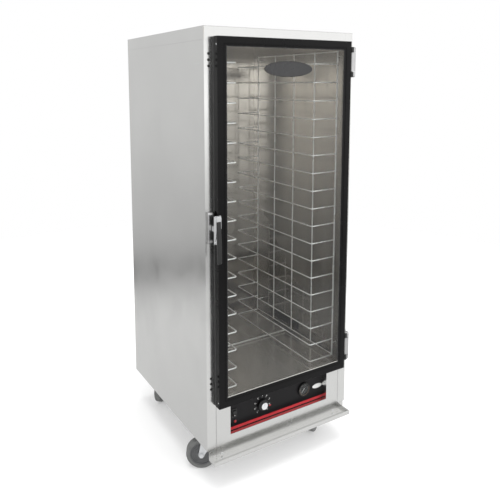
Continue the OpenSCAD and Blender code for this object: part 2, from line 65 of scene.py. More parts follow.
def new_material(name):
    mat = bpy.data.materials.new(name)
    mat.use_nodes = True
    tree = mat.node_tree
    return mat, tree, tree.nodes["Principled BSDF"]


def link(tree, a, out, b, inp):
    tree.links.new(a.outputs[out], b.inputs[inp])


def noise(tree, coords, scale, detail=4.0, rough=0.55, stretch=(1, 1, 1), distort=0.0):
    mapping = tree.nodes.new("ShaderNodeMapping")
    mapping.inputs["Scale"].default_value = [scale * s for s in stretch]
    link(tree, coords, "Object", mapping, "Vector")
    tex = tree.nodes.new("ShaderNodeTexNoise")
    tex.inputs["Scale"].default_value = 1.0
    tex.inputs["Detail"].default_value = detail
    tex.inputs["Roughness"].default_value = rough
    tex.inputs["Distortion"].default_value = distort
    link(tree, mapping, "Vector", tex, "Vector")
    return tex


def remap(tree, source, low, high, low_in=0.3, high_in=0.7):
    node = tree.nodes.new("ShaderNodeMapRange")
    node.inputs["From Min"].default_value = low_in
    node.inputs["From Max"].default_value = high_in
    node.inputs["To Min"].default_value = low
    node.inputs["To Max"].default_value = high
    tree.links.new(source, node.inputs["Value"])
    return node


def ramp(tree, source, stops):
    node = tree.nodes.new("ShaderNodeValToRGB")
    elements = node.color_ramp.elements
    while len(elements) < len(stops):
        elements.new(0.5)
    for element, (place, colour) in zip(elements, stops):
        element.position = place
        element.color = (*colour, 1)
    tree.links.new(source, node.inputs["Fac"])
    return node


def scaled(colour, k):
    return tuple(min(1.0, c * k) for c in colour)


def surface(name, colour, rough, metallic=0.0, tint=0.06, tint_scale=9.0, rough_vary=0.05, rough_scale=14.0,
            bump=0.0, bump_scale=600.0, bump_mm=0.1, stretch=(1, 1, 1), wear=0.0, **sockets):
    """A finish with colour and roughness that vary over the surface, and a fine relief."""
    mat, tree, shader = new_material(name)
    coords = tree.nodes.new("ShaderNodeTexCoord")
    mottle = noise(tree, coords, tint_scale, detail=5)
    tones = ramp(tree, mottle.outputs["Fac"],
                 [(0.32, scaled(colour, 1 - tint)), (0.68, scaled(colour, 1 + tint))])
    link(tree, tones, "Color", shader, "Base Color")
    cloud = noise(tree, coords, rough_scale, detail=6, distort=0.6)
    spread = remap(tree, cloud.outputs["Fac"], rough - rough_vary, rough + rough_vary)
    link(tree, spread, "Result", shader, "Roughness")
    if bump:
        relief = noise(tree, coords, bump_scale, detail=3, stretch=stretch)
        node = tree.nodes.new("ShaderNodeBump")
        node.inputs["Strength"].default_value = bump
        node.inputs["Distance"].default_value = bump_mm * MM
        link(tree, relief, "Fac", node, "Height")
        link(tree, node, "Normal", shader, "Normal")
    if wear:
        scuff(tree, coords, shader, tones, colour, wear)
    shader.inputs["Metallic"].default_value = metallic
    for socket, value in sockets.items():
        shader.inputs[socket.replace("_", " ")].default_value = value
    return mat


def scuff(tree, coords, shader, tones, colour, shade_amount):
    """Lighter, rubbed patches scattered thinly over the surface."""
    patches = noise(tree, coords, 90, detail=8, rough=0.7)
    mask = remap(tree, patches.outputs["Fac"], 0.0, shade_amount, 0.62, 0.8)
    mix = tree.nodes.new("ShaderNodeMix")
    mix.data_type = "RGBA"
    link(tree, mask, "Result", mix, "Factor")
    tree.links.new(tones.outputs["Color"], mix.inputs[6])
    mix.inputs[7].default_value = (*[c * 0.5 + 0.2 for c in colour], 1)
    tree.links.new(mix.outputs[2], shader.inputs["Base Color"])


def brushed(name, colour, rough, stretch, metallic=1.0):
    """Sheet steel with a directional grain, faint smudges and a slight waviness."""
    return surface(name, colour, rough, metallic=metallic, tint=0.035, tint_scale=2.2, rough_vary=0.045,
                   rough_scale=5.0, bump=0.05, bump_scale=1500.0, bump_mm=0.03, stretch=stretch)


# Grain directions, as the noise's scale along x, y and z
UPRIGHT = (1, 1, 0.012)
ACROSS = (0.012, 1, 1)
STEEL = (0.66, 0.66, 0.65)
WARM_STEEL = (0.70, 0.665, 0.62)
HALF_SHEET = 0.75 * MM


def inside_mask(tree, coords):
    """1 on the faces that look into the compartment, 0 on the outer faces of the shell."""
    split = tree.nodes.new("ShaderNodeSeparateXYZ")
    link(tree, coords, "Object", split, "Vector")
    width = tree.nodes.new("ShaderNodeMath")
    width.operation = "ABSOLUTE"
    link(tree, split, "X", width, "Value")
    result = compare(tree, split.outputs["Y"], "GREATER_THAN", FRONT + HALF_SHEET)
    limits = ((width.outputs[0], HALF_W), (split.outputs["Z"], ROOF), (split.outputs["Y"], CAB_HI.y))
    for value, limit in limits:
        result = both(tree, result, compare(tree, value, "LESS_THAN", limit - HALF_SHEET))
    return result


def compare(tree, value, operation, limit):
    """1 where the value passes the test against the limit."""
    node = tree.nodes.new("ShaderNodeMath")
    node.operation = operation
    tree.links.new(value, node.inputs[0])
    node.inputs[1].default_value = limit
    return node.outputs[0]


def both(tree, first, second):
    """1 where both masks are 1."""
    node = tree.nodes.new("ShaderNodeMath")
    node.operation = "MULTIPLY"
    tree.links.new(first, node.inputs[0])
    tree.links.new(second, node.inputs[1])
    return node.outputs[0]


def blend(tree, factor, first, second, kind="FLOAT"):
    """A mix of two sockets of the same kind."""
    node = tree.nodes.new("ShaderNodeMix")
    node.data_type = kind
    a, b, out = (2, 3, 0) if kind == "FLOAT" else (6, 7, 2)
    tree.links.new(factor, node.inputs[0])
    tree.links.new(first, node.inputs[a])
    tree.links.new(second, node.inputs[b])
    return node.outputs[out]


def by_height(tree, coords, colour):
    """The colour, paler towards the compartment's top and darker towards its floor: painted light and shade.
    """
    split = tree.nodes.new("ShaderNodeSeparateXYZ")
    link(tree, coords, "Object", split, "Vector")
    level = remap(tree, split.outputs["Z"], 0.58, 1.2, 0.5, 1.7)
    product = tree.nodes.new("ShaderNodeVectorMath")
    product.operation = "SCALE"
    link(tree, colour, "Color", product, "Vector")
    link(tree, level, "Result", product, "Scale")
    return product.outputs["Vector"]


def shell_steel():
    """The cabinet's sheet: upright brushed grain outside, smoother, warmer and partly diffuse inside, where
    painted light and shade grade it by height.
    """
    mat = brushed("stainless_shell", STEEL, 0.2, UPRIGHT)
    tree = mat.node_tree
    shader = tree.nodes["Principled BSDF"]
    coords = next(n for n in tree.nodes if n.type == "TEX_COORD")
    mask = inside_mask(tree, coords)
    outer_colour = shader.inputs["Base Color"].links[0].from_socket
    outer_rough = shader.inputs["Roughness"].links[0].from_socket
    cloud = noise(tree, coords, 4.0, detail=5)
    warm = ramp(tree, cloud.outputs["Fac"],
                [(0.3, scaled(WARM_STEEL, 0.94)), (0.7, scaled(WARM_STEEL, 1.05))])
    sheen = remap(tree, cloud.outputs["Fac"], 0.08, 0.12)
    # Inside faces: the warm steel painted paler towards the top and darker towards the floor, painted light
    # and shade.
    colour = blend(tree, mask, outer_colour, by_height(tree, coords, warm), "RGBA")
    tree.links.new(colour, shader.inputs["Base Color"])
    tree.links.new(blend(tree, mask, outer_rough, sheen.outputs["Result"]), shader.inputs["Roughness"])
    metal = remap(tree, mask, 1.0, 0.72, 0.0, 1.0)
    link(tree, metal, "Result", shader, "Metallic")
    return mat


def trough_steel():
    """The trough's sheet, painted darker in a band along the bottom of the channel by the lip: painted shade.
    """
    mat = brushed("trough_sheet", STEEL, 0.24, ACROSS)
    tree = mat.node_tree
    shader = tree.nodes["Principled BSDF"]
    coords = next(n for n in tree.nodes if n.type == "TEX_COORD")
    split = tree.nodes.new("ShaderNodeSeparateXYZ")
    link(tree, coords, "Object", split, "Vector")
    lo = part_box("drip_trough")[0]
    depth = remap(tree, split.outputs["Y"], 0.0, 1.0, lo.y, FRONT)
    level = remap(tree, split.outputs["Z"], 1.0, 0.0, lo.z + 2.5 * MM, lo.z + 5.5 * MM)
    bands = ramp(tree, depth.outputs["Result"],
                 [(0.3, (0, 0, 0)), (0.4, (1, 1, 1)), (0.54, (1, 1, 1)), (0.66, (0, 0, 0))])
    shade_amount = both(tree, bands.outputs["Color"], level.outputs["Result"])
    # A darker copy of the steel at the channel's floor by the lip: painted shade.
    painted_shade = ramp(tree, noise(tree, coords, 30, detail=6).outputs["Fac"],
                [(0.3, scaled(STEEL, 0.74)), (0.7, scaled(STEEL, 0.86))])
    plain = shader.inputs["Base Color"].links[0].from_socket
    tree.links.new(blend(tree, shade_amount, plain, painted_shade.outputs["Color"], "RGBA"), shader.inputs["Base Color"])
    return mat


SHELL = shell_steel()
STAINLESS = brushed("stainless_upright", STEEL, 0.22, UPRIGHT)
STAINLESS_ACROSS = brushed("stainless_across", STEEL, 0.24, ACROSS)
TROUGH = trough_steel()
# The compartment's floor deck, heater cover and fan take the warm inner steel at 0.72: a darker copy, painted
# shade of the compartment.
INTERIOR = brushed("interior_sheet", scaled(WARM_STEEL, 0.72), 0.2, ACROSS, metallic=0.8)
WIRE = surface("plated_wire", (0.9, 0.89, 0.87), 0.3, metallic=0.35, tint=0.05, tint_scale=30,
               bump=0.15, bump_scale=300, bump_mm=0.05)
CHROME = surface("polished_chrome", (0.83, 0.84, 0.85), 0.1, metallic=1.0, tint=0.02, rough_vary=0.04,
                 rough_scale=60, bump=0.06, bump_scale=160, bump_mm=0.05)
HINGE = surface("hinge_zinc", (0.5, 0.5, 0.5), 0.3, metallic=1.0, tint=0.06, tint_scale=50, bump=0.1,
                bump_scale=500, bump_mm=0.05)
ZINC = surface("zinc_plate", (0.66, 0.67, 0.68), 0.34, metallic=1.0, tint=0.08, tint_scale=60,
               bump=0.2, bump_scale=500, bump_mm=0.08)
SILL = surface("pale_bead", (0.7, 0.69, 0.66), 0.4, metallic=0.3, tint=0.04, tint_scale=20)
FRAME_BLACK = surface("black_anodised", (0.0028, 0.0026, 0.0028), 0.24, tint=0.15, tint_scale=12,
                      rough_vary=0.06, bump=0.25, bump_scale=900, bump_mm=0.04, wear=0.02,
                      Specular_IOR_Level=0.15)
PLASTIC = surface("black_plastic", (0.006, 0.006, 0.006), 0.38, tint=0.12, tint_scale=40, rough_vary=0.08,
                  bump=0.35, bump_scale=1400, bump_mm=0.05, wear=0.06)
PANEL_BLACK = surface("panel_overlay", (0.006, 0.0055, 0.0062), 0.36, tint=0.1, tint_scale=20,
                      rough_vary=0.05, bump=0.3, bump_scale=1600, bump_mm=0.04, Specular_IOR_Level=0.2)
RED = surface("red_stripe", (0.58, 0.025, 0.035), 0.35, tint=0.08, tint_scale=30, bump=0.15, bump_scale=500,
              bump_mm=0.04)
LAMP_RED = surface("lamp_lens", (0.35, 0.012, 0.015), 0.12, tint=0.08, tint_scale=120, bump=0.3,
                   bump_scale=260, bump_mm=0.3, Transmission_Weight=0.25)
PLATE = surface("blank_plate", (0.7, 0.7, 0.69), 0.35, metallic=0.2, tint=0.05, tint_scale=25, bump=0.15,
                bump_scale=700, bump_mm=0.04)
BADGE_BLACK = surface("badge_enamel", (0.02, 0.02, 0.021), 0.3, tint=0.1, tint_scale=60, bump=0.2,
                      bump_scale=900, bump_mm=0.04)
GASKET = surface("gasket_rubber", (0.05, 0.05, 0.05), 0.6, tint=0.12, tint_scale=16, bump=0.4,
                 bump_scale=500, bump_mm=0.1)
TYRE = surface("grey_tread", (0.13, 0.133, 0.13), 0.62, tint=0.14, tint_scale=24, rough_vary=0.1,
               bump=0.5, bump_scale=420, bump_mm=0.15, wear=0.35)
# Near-black rings on the grey hub: painted shade in its grooves.
GROOVE_SHADE = surface("hub_groove", (0.03, 0.03, 0.031), 0.6, tint=0.1, tint_scale=40)
HUB = surface("grey_hub", (0.12, 0.123, 0.126), 0.48, tint=0.1, tint_scale=30, bump=0.3, bump_scale=700,
              bump_mm=0.08)
RIM_BROWN = surface("gauge_rim", (0.2, 0.15, 0.11), 0.35, metallic=0.6, tint=0.08, tint_scale=90)
RED_PRINT = surface("red_print", (0.6, 0.03, 0.03), 0.5, tint=0.05, tint_scale=200)
DIM_PRINT = surface("faded_print", (0.16, 0.15, 0.14), 0.5, tint=0.05, tint_scale=200)
PRINT = surface("white_print", (0.88, 0.88, 0.86), 0.5, tint=0.05, tint_scale=200)
# Black of the thermometer's dial, and painted shade in the screws' cross recesses.
DARK = surface("recess_black", (0.01, 0.01, 0.01), 0.6, tint=0.2, tint_scale=80)
HEATER = surface("heater_sheath", (0.2, 0.18, 0.17), 0.5, metallic=0.8, tint=0.2, tint_scale=60,
                 bump=0.3)
MOTOR = surface("motor_enamel", (0.3, 0.31, 0.33), 0.45, tint=0.08, tint_scale=30, bump=0.3)


GLASS_TINT = (0.93, 0.95, 0.95)


def glass(name):
    """Clear pane: smooth, faintly streaked, and open to light from lamps."""
    mat, tree, shader = new_material(name)
    coords = tree.nodes.new("ShaderNodeTexCoord")
    streaks = noise(tree, coords, 3.0, detail=5, stretch=(1, 1, 0.4), distort=0.8)
    spread = remap(tree, streaks.outputs["Fac"], 0.0, 0.004, 0.5, 0.85)
    link(tree, spread, "Result", shader, "Roughness")
    shader.inputs["Base Color"].default_value = (*GLASS_TINT, 1)
    shader.inputs["Transmission Weight"].default_value = 1.0
    shader.inputs["IOR"].default_value = 1.25
    clear = tree.nodes.new("ShaderNodeBsdfTransparent")
    path = tree.nodes.new("ShaderNodeLightPath")
    mix = tree.nodes.new("ShaderNodeMixShader")
    link(tree, path, "Is Shadow Ray", mix, "Fac")
    tree.links.new(shader.outputs["BSDF"], mix.inputs[1])
    tree.links.new(clear.outputs["BSDF"], mix.inputs[2])
    output = next(n for n in tree.nodes if n.type == "OUTPUT_MATERIAL")
    link(tree, mix, "Shader", output, "Surface")
    return mat


GLASS = glass("door_glass")
LENS = glass("gauge_lens")

# ---------------------------------------------------------------- finishes of the CAD nodes

FINISH = {
    SHELL: ["side_panel_left", "side_panel_right", "back_panel", "top_cap"],
    STAINLESS: ["header", "fascia"],
    STAINLESS_ACROSS: ["base_pan"],
    TROUGH: ["drip_trough"],
    INTERIOR: ["floor_deck", "heater_cover", "fan_blade"],
    WIRE: ["rack_posts_left", "rack_posts_right", "slides_left", "slides_right"],
    HINGE: ["hinge_mounts", "hinge_leaves", "latch_strike"],
    CHROME: ["latch_body", "latch_lever", "knob_cap", "door_screws", "cabinet_screws"],
    ZINC: ["caster_plates", "thermostat_body"] + ["caster_fork_" + w for w in WHEELS],
    FRAME_BLACK: ["door_frame"],
    # air_outlets, black louvres at the foot of each side wall, stand in for a dark reflection there: a
    # painted reflection.
    PLASTIC: ["hole_plugs", "air_outlets", "switch_housing", "switch_rocker", "control_knob",
              "hinge_bushings", "latch_grip", "cord_gland", "thermometer_case"],
    PANEL_BLACK: ["control_panel"],
    RED: ["accent_stripe"],
    LAMP_RED: ["pilot_light"],
    PLATE: ["panel_badge"],
    BADGE_BLACK: ["door_badge"],
    GLASS: ["door_window"],
    LENS: ["thermometer_lens"],
    GASKET: ["door_gasket"],
    TYRE: ["caster_tyre_" + w for w in WHEELS],
    HUB: ["caster_hub_" + w for w in WHEELS],
    PRINT: ["thermometer_needle"],
    DARK: ["thermometer_dial"],
    HEATER: ["heater_element"],
    MOTOR: ["fan_motor"],
}

# Rounding of edges, in millimetres; what isn't named gets a little
ROUND = {"hinge_mounts": 1.6, "hinge_leaves": 1.6, "hinge_bushings": 3.0, "latch_body": 1.2,
         "latch_lever": 1.0, "latch_strike": 2.0, "latch_grip": 3.0, "door_frame": 0.7, "knob_cap": 1.2,
         "control_knob": 1.2, "switch_rocker": 0.6, "switch_housing": 0.8, "thermometer_case": 1.2,
         "pilot_light": 1.8, "door_badge": 0.6, "panel_badge": 0.5, "caster_plates": 0.8,
         "heater_cover": 0.6, "cord_gland": 0.8, "door_gasket": 1.0}
SHEET_ROUND = 0.45
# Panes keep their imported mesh
PANES = {"door_window", "thermometer_lens"}
# Wire and rod, whose facets are kept as they are
RODS = {"rack_posts_left", "rack_posts_right", "slides_left", "slides_right", "heater_element"}
ROD_ROUND = 0.0002
WELD_GAP = 0.002
FLAT_ANGLE = math.radians(0.4)
EDGE_ANGLE = math.radians(32)


def refine(node):
    """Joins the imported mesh's split corners and rounds its edges, by modifiers only."""
    obj = NODES[node]
    if node in PANES:
        return
    obj.data.polygons.foreach_set("use_smooth", [True] * len(obj.data.polygons))
    weld = obj.modifiers.new("weld", "WELD")
    weld.merge_threshold = WELD_GAP * MM
    flat = obj.modifiers.new("flat", "DECIMATE")
    flat.decimate_type = "DISSOLVE"
    flat.angle_limit = FLAT_ANGLE
    bevel = obj.modifiers.new("round", "BEVEL")
    bevel.width = (ROD_ROUND if node in RODS else ROUND.get(node, SHEET_ROUND)) * MM
    bevel.segments = 3 if node in ROUND else 2
    bevel.limit_method = "ANGLE"
    bevel.angle_limit = EDGE_ANGLE
    even = obj.modifiers.new("even", "WEIGHTED_NORMAL")
    even.weight = 100
    even.keep_sharp = True


def dress_nodes():
    for mat, names in FINISH.items():
        for node in names:
            mesh = NODES[node].data
            mesh.materials.clear()
            mesh.materials.append(mat)
    undressed = set(NODES) - {n for names in FINISH.values() for n in names}
    assert not undressed, undressed
    for node in NODES:
        refine(node)


dress_nodes()

# ---------------------------------------------------------------- added pieces


def piece(name, bm, mat, body, bevel=0.0):
    """Makes the built mesh a named piece that rides on the body; bevel rounds its edges, in mm."""
    mesh = bpy.data.meshes.new(name)
    bmesh.ops.recalc_face_normals(bm, faces=bm.faces)
    bm.to_mesh(mesh)
    bm.free()
    mesh.materials.append(mat)
    obj = bpy.data.objects.new(name, mesh)
    bpy.context.scene.collection.objects.link(obj)
    if bevel:
        mod = obj.modifiers.new("round", "BEVEL")
        mod.width = bevel * MM
        mod.segments = 2
        mod.limit_method = "ANGLE"
    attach(obj, body)


def add_block(bm, size, matrix):
    """A box of that size in metres, centred on the matrix's origin."""
    bmesh.ops.create_cube(bm, size=1.0, matrix=matrix @ Matrix.Diagonal((*size, 1)))


# Sides of the round section of every ring and bead
SIDES = 8


def add_ring(bm, place, radius, thick, turn=Matrix.Identity(4), steps=64, squash=1.0, arc=None):
    """A torus about the turned Z axis, or an arc of one in degrees; squash flattens it along that axis.

    A pair of radii makes it oval.
    """
    rows = []
    radius_x, radius_y = radius if isinstance(radius, tuple) else (radius, radius)
    first, last = arc or (0, 360)
    for i in range(steps + bool(arc)):
        a = math.radians(first + (last - first) * i / steps)
        row = []
        for k in range(SIDES):
            b = 2 * math.pi * k / SIDES
            out = thick * math.cos(b)
            point = Vector(((radius_x + out) * math.cos(a), (radius_y + out) * math.sin(a),
                            thick * squash * math.sin(b)))
            row.append(bm.verts.new(place + turn @ point))
        rows.append(row)
    for i in range(steps):
        for k in range(SIDES):
            j, m = (i + 1) % len(rows), (k + 1) % SIDES
            face = bm.faces.new((rows[i][k], rows[j][k], rows[j][m], rows[i][m]))
            face.smooth = True


FACING_FRONT = Matrix.Rotation(math.radians(90), 4, "X")
PRINT_THICK = 0.16


def print_digits(bm, text, size, place):
    """Numbers as thin raised print that faces the front."""
    curve = bpy.data.curves.new("digits", "FONT")
    curve.body = text
    curve.size = size * MM
    curve.extrude = PRINT_THICK / 2 * MM
    curve.align_x = "CENTER"
    curve.align_y = "CENTER"
    obj = bpy.data.objects.new("digits", curve)
    mesh = obj.to_mesh()
    mesh.transform(Matrix.Translation(place) @ FACING_FRONT)
    bm.from_mesh(mesh)
    obj.to_mesh_clear()
    bpy.data.objects.remove(obj)
    bpy.data.curves.remove(curve)


def on_dial(middle, radius, angle):
    """The point at that radius, in mm, and angle, clockwise from the top, round a centre in metres."""
    return middle + Vector((radius * MM * math.sin(angle), 0, radius * MM * math.cos(angle)))


def dial_marks(name, middle, mat, sweep, count, major, radius, length, width, numbers, number_r, size):
    """Scale ticks and numbers over a sweep of plus and minus that many degrees from the top.

    Every tick whose count divides by major is full size, and the others are smaller.
    """
    minor = 0.6
    bm = bmesh.new()
    for i in range(count + 1):
        a = math.radians(sweep * (2 * i / count - 1))
        share = 1 if i % major == 0 else minor
        long, wide = length * share, width * share
        place = Matrix.Translation(on_dial(middle, radius + long / 2, a))
        add_block(bm, (wide * MM, PRINT_THICK * MM, long * MM), place @ Matrix.Rotation(a, 4, "Y"))
    for i, text in enumerate(numbers):
        a = math.radians(sweep * (2 * i / (len(numbers) - 1) - 1))
        print_digits(bm, text, size, on_dial(middle, number_r, a))
    piece(name, bm, mat, "cabinet")


def before_panel(node, gap):
    """The node's centre, moved to a plane that many mm in front of the control panel."""
    middle = centre(node)
    middle.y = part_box("control_panel")[0].y - gap * MM
    return middle


def add_knob_details():
    middle = before_panel("control_knob", 0.1)
    dial_marks("knob_scale", middle, PRINT, sweep=140, count=8, major=1, radius=31.0, length=2.2, width=1.0,
               numbers=[str(n) for n in range(1, 10)], number_r=38.5, size=8.5)
    bm = bmesh.new()
    place = Matrix.Translation(middle + Vector((40, 0, -17)) * MM)
    add_block(bm, (9 * MM, PRINT_THICK * MM, 3.5 * MM), place)
    piece("knob_scale_red", bm, RED_PRINT, "cabinet")
    bm = bmesh.new()
    middle = before_panel("knob_cap", 15.5)
    ribs, cap_r, rib = 32, 15.0, 0.9 * MM
    for i in range(ribs):
        a = 2 * math.pi * i / ribs
        place = Matrix.Translation(on_dial(middle, cap_r, a))
        add_block(bm, (rib, 7.0 * MM, rib), place @ Matrix.Rotation(a, 4, "Y"))
    piece("knob_knurl", bm, CHROME, "knob", bevel=0.2)


def add_gauge_details():
    middle = before_panel("thermometer_dial", 1.6)
    dial_marks("gauge_scale", middle, DIM_PRINT, sweep=135, count=27, major=3, radius=20.5, length=2.4,
               width=0.5, numbers=[str(n) for n in range(40, 241, 40)], number_r=16.5, size=3.6)
    bm = bmesh.new()
    middle = before_panel("thermometer_dial", 7.3)
    add_ring(bm, middle, 24.6 * MM, 0.8 * MM, FACING_FRONT, squash=0.6, arc=(160, 380))
    piece("gauge_inner_rim", bm, RIM_BROWN, "cabinet")


def add_switch_details():
    bm = bmesh.new()
    lo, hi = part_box("switch_rocker")
    place = Vector(((lo.x + hi.x) / 2, lo.y + 1.2 * MM, (lo.z + hi.z) / 2 - 8.0 * MM))
    tilt = Matrix.Rotation(math.radians(8), 4, "X")
    add_block(bm, (5.0 * MM, 0.3 * MM, 1.6 * MM), Matrix.Translation(place) @ tilt)
    piece("rocker_marks", bm, PRINT, "rocker")
    bm = bmesh.new()
    add_ring(bm, before_panel("pilot_light", 0.4), 7.0 * MM, 1.0 * MM, FACING_FRONT, squash=0.7, steps=40)
    piece("pilot_bezel", bm, PLASTIC, "cabinet")


def add_cross(bm, place, axis, size):
    """A dark cross on a screw head that faces along axis, x or y: painted shade of its cross recess."""
    deep, slot = 0.25, 0.22 * size
    for long, short in ((size, slot), (slot, size)):
        dims = (deep * MM, long * MM, short * MM) if axis == "x" else (long * MM, deep * MM, short * MM)
        add_block(bm, dims, Matrix.Translation(place))


def add_screw_recesses():
    """Dark crosses, painted shade of their cross recesses, on the trough's two screws, the body's four upper
    rivets and the door's two side screws.
    """
    trough_screw_x, trough_head_r, rivet_r = 286 * MM, 4.5 * MM, 3.0 * MM
    trough_cross, rivet_cross = 5.0, 3.6
    bm = bmesh.new()
    lo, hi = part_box("cabinet_screws")
    for side in (-1, 1):
        add_cross(bm, Vector((side * trough_screw_x, lo.y, lo.z + trough_head_r)), "y", trough_cross)
        for back in (43, 70):
            place = Vector((side * hi.x, FRONT + back * MM, hi.z - rivet_r))
            add_cross(bm, place, "x", rivet_cross)
    piece("body_screw_recesses", bm, DARK, "cabinet")
    bm = bmesh.new()
    lo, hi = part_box("door_screws")
    for z in (lo.z + rivet_r, hi.z - rivet_r):
        add_cross(bm, Vector((lo.x, (lo.y + hi.y) / 2, z)), "x", rivet_cross)
    piece("door_screw_recesses", bm, DARK, "door")


def add_loop(bm, lo, hi, y, thick):
    """A round bead along an upright rectangle with rounded corners."""
    corner = 3.0 * MM
    steps = 4
    left, right, low, high = lo.x + corner, hi.x - corner, lo.z + corner, hi.z - corner
    cuts = []
    for x, z, first in ((right, high, 0), (left, high, 90), (left, low, 180), (right, low, 270)):
        for k in range(steps + 1):
            a = math.radians(first + 90 * k / steps)
            cuts.append(((x + corner * math.cos(a), z + corner * math.sin(a)), a))
    rows = []
    for (x, z), a in cuts:
        row = []
        for k in range(SIDES):
            b = 2 * math.pi * k / SIDES
            out = thick * math.cos(b)
            point = (x + out * math.cos(a), y + thick * math.sin(b), z + out * math.sin(a))
            row.append(bm.verts.new(point))
        rows.append(row)
    for i, row in enumerate(rows):
        following = rows[(i + 1) % len(rows)]
        for k in range(SIDES):
            m = (k + 1) % SIDES
            face = bm.faces.new((row[k], row[m], following[m], following[k]))
            face.smooth = True


def add_door_details():
    lo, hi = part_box("door_gasket")
    bm = bmesh.new()
    for inset, sunk in ((1.6, 1.4), (4.0, 0.9), (6.4, 1.4)):
        step = Vector((inset, 0, inset)) * MM
        add_loop(bm, lo + step, hi - step, hi.y - sunk * MM, 1.0 * MM)
    piece("gasket_ribs", bm, GASKET, "door")
    lo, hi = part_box("door_window")
    bm = bmesh.new()
    hidden = 7.2
    step = Vector((hidden, 0, hidden)) * MM
    add_loop(bm, lo + step, hi - step, lo.y - 0.4 * MM, 1.3 * MM)
    piece("glazing_bead", bm, GASKET, "door")
    bm = bmesh.new()
    size = (hi.x - lo.x - 13 * MM, 1.6 * MM, 1.8 * MM)
    place = Vector((0, lo.y - 0.9 * MM, lo.z + 8.4 * MM))
    add_block(bm, size, Matrix.Translation(place))
    piece("sill_bead", bm, SILL, "door", bevel=0.4)
    lo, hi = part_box("door_badge")
    bm = bmesh.new()
    middle = Vector(((lo.x + hi.x) / 2, lo.y, (lo.z + hi.z) / 2))
    edge = 1.6 * MM
    radii = ((hi.x - lo.x) / 2 - edge, (hi.z - lo.z) / 2 - edge)
    add_ring(bm, middle, radii, 1.0 * MM, FACING_FRONT, steps=96, squash=0.5)
    piece("badge_rim", bm, BADGE_BLACK, "door")


# Each row: radius as a share of the wheel's, distance from its mid plane and half thickness in mm
HUB_RINGS = ((0.36, 9.6, 1.6), (0.5, 9.6, 1.3), (0.62, 9.8, 1.3))
# The grooves are drawn as near-black rings: painted shade in the hub's grooves.
HUB_GROOVES = ((0.43, 9.1, 0.8), (0.56, 9.1, 0.8), (0.745, 15.1, 0.8))
TYRE_RIDGES = ((0.8, 15.8, 0.9), (0.87, 15.5, 0.9))


def add_wheel_rings(name, where, rings, squash, mat):
    """Rings on both faces of one wheel."""
    spin = joint("wheel_%s_roll" % where)
    axis = Vector(spin["axis"]).normalized()
    turn = axis.to_track_quat("Z", "Y").to_matrix().to_4x4()
    lo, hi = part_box("caster_tyre_" + where)
    wheel_r = (hi.z - lo.z) / 2
    bm = bmesh.new()
    for side in (-1, 1):
        for share, out, thick in rings:
            place = Vector(spin["pos_m"]) + axis * side * out * MM
            add_ring(bm, place, wheel_r * share, thick * MM, turn, squash=squash)
    piece(name + where, bm, mat, "wheel_" + where)


def add_wheel_details():
    for where in WHEELS:
        add_wheel_rings("wheel_rings_", where, HUB_RINGS, 0.8, HUB)
        add_wheel_rings("wheel_grooves_", where, HUB_GROOVES, 0.7, GROOVE_SHADE)
        add_wheel_rings("tyre_ridges_", where, TYRE_RIDGES, 0.9, TYRE)


def add_swivel_details():
    """Two ball races round the top of each fork."""
    for where in WHEELS:
        swivel = joint("swivel_%s_turn" % where)
        pin = Vector(swivel["pos_m"])
        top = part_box("caster_fork_" + where)[1].z
        bm = bmesh.new()
        for drop, radius in ((1.2, 27.0), (4.4, 26.4)):
            add_ring(bm, Vector((pin.x, pin.y, top - drop * MM)), radius * MM, 1.1 * MM, squash=0.8)
        piece("raceway_" + where, bm, ZINC, "swivel_" + where)


def add_cover_edge():
    """The folded front edge of the heater cover, pale where it catches the light: a painted highlight."""
    lo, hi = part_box("heater_cover")
    bm = bmesh.new()
    size = (hi.x - lo.x - 2 * MM, 2.4 * MM, 7.5 * MM)
    add_block(bm, size, Matrix.Translation((0, lo.y - 1.3 * MM, lo.z + 8.0 * MM)))
    # Pale bead on the cover's front edge: painted highlight.
    piece("cover_edge", bm, SILL, "cabinet", bevel=0.8)


def add_back_details():
    """Flex ridges round the cord gland's nose."""
    lo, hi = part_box("cord_gland")
    middle = (lo + hi) / 2
    bm = bmesh.new()
    for back in (2.0, 4.2, 6.4):
        place = Vector((middle.x, hi.y - back * MM, middle.z))
        add_ring(bm, place, 10.1 * MM, 0.7 * MM, FACING_FRONT, steps=40)
    piece("gland_ridges", bm, PLASTIC, "cabinet")


add_knob_details()
add_gauge_details()
add_switch_details()
add_screw_recesses()
add_door_details()
add_wheel_details()
add_swivel_details()
add_cover_edge()
add_back_details()

# ---------------------------------------------------------------- camera, lights and floor


# The camera's place in metres, from the body's front face, and its turn in degrees
CAMERA_PLACE = (-1.306, -1.7735, 1.581)
CAMERA_HEADING = -30.39
CAMERA_TILT = 82.66
CAMERA_ROLL = -0.26
CAMERA_LENS = 40.26
CAMERA_SHIFT = (0.0498, -0.1898)


def add_camera():
    data = bpy.data.cameras.new("camera")
    data.sensor_width = 36.0
    data.lens = CAMERA_LENS
    data.shift_x, data.shift_y = CAMERA_SHIFT
    data.clip_end = 100
    cam = bpy.data.objects.new("camera", data)
    bpy.context.scene.collection.objects.link(cam)
    heading = Matrix.Rotation(math.radians(CAMERA_HEADING), 4, "Z")
    tilt = Matrix.Rotation(math.radians(CAMERA_TILT), 4, "X")
    roll = Matrix.Rotation(math.radians(CAMERA_ROLL), 4, "Z")
    place = Matrix.Translation(Vector(CAMERA_PLACE) + Vector((0, FRONT, 0)))
    cam.matrix_world = place @ heading @ tilt @ roll
    bpy.context.scene.camera = cam


